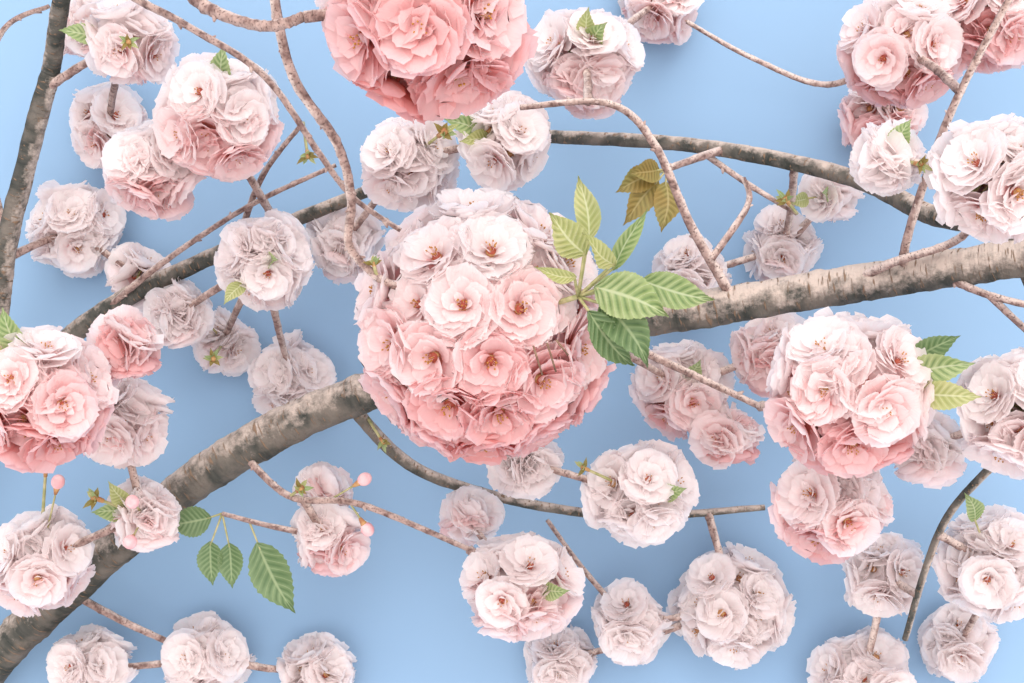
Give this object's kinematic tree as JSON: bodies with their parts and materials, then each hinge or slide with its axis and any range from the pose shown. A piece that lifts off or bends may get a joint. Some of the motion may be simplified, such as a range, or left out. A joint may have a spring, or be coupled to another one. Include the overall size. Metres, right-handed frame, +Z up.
{
  "type": "cut flowering cherry bough",
  "caption": "Cut bough of a flowering cherry lying down, with side boughs and twigs, ball-shaped clusters of pale pink double blossom and tufts of young leaves.",
  "frame": {"origin": "middle of the underside of the whole bough's bounding box, on the ground it lies on", "axes": "+X along the main bough's run from its cut end to its far end, +Y towards its upper side boughs, +Z up from the ground it lies on"},
  "size_m": [0.9634, 0.6996, 0.5381],
  "materials": {
    "bark": "rough",
    "blossom": "soft",
    "leaf": "satin"
  },
  "bodies": {
    "root": {"arched_twig": "bark", "behind_bough_cluster": "blossom", "behind_top_cluster": "blossom", "bottom_left_cluster": "blossom", "bottom_mid_cluster": "blossom", "bottom_right_cluster": "blossom", "bronze_shoot": "leaf", "corner_cluster": "blossom", "far_right_cluster": "blossom", "gnarled_spur": "bark", "hanging_cluster": "blossom", "hanging_twig": "bark", "left_bough": "bark", "left_edge_cluster": "blossom", "left_low_cluster": "blossom", "long_twig": "bark", "lower_bough": "bark", "lower_cluster": "blossom", "lower_left_twig": "bark", "lower_mid_cluster": "blossom", "lower_twig": "bark", "main_bough": "bark", "mid_left_cluster": "blossom", "middle_bloom_01": "blossom", "middle_bloom_02": "blossom", "middle_bloom_03": "blossom", "middle_bloom_04": "blossom", "middle_bloom_05": "blossom", "middle_bloom_06": "blossom", "middle_bloom_07": "blossom", "middle_bloom_08": "blossom", "middle_bloom_09": "blossom", "middle_bloom_10": "blossom", "middle_bloom_11": "blossom", "middle_bloom_12": "blossom", "middle_bloom_13": "blossom", "middle_bloom_14": "blossom", "middle_bloom_15": "blossom", "middle_bloom_16": "blossom", "middle_bloom_17": "blossom", "middle_bloom_18": "blossom", "middle_bloom_19": "blossom", "middle_bloom_20": "blossom", "middle_leaves": "leaf", "middle_spur": "blossom", "pale_left_cluster": "blossom", "right_bottom_cluster": "blossom", "right_cluster": "blossom", "right_drop_bough": "bark", "right_twig": "bark", "right_upper_cluster": "blossom", "top_bough": "bark", "top_cluster": "blossom", "top_right_cluster": "blossom", "under_bough_cluster": "blossom", "upper_cluster": "blossom", "upper_left_bough": "bark", "upper_left_cluster": "blossom", "upper_right_bough": "bark", "upright_twig": "bark"}
  },
  "joints": []
}
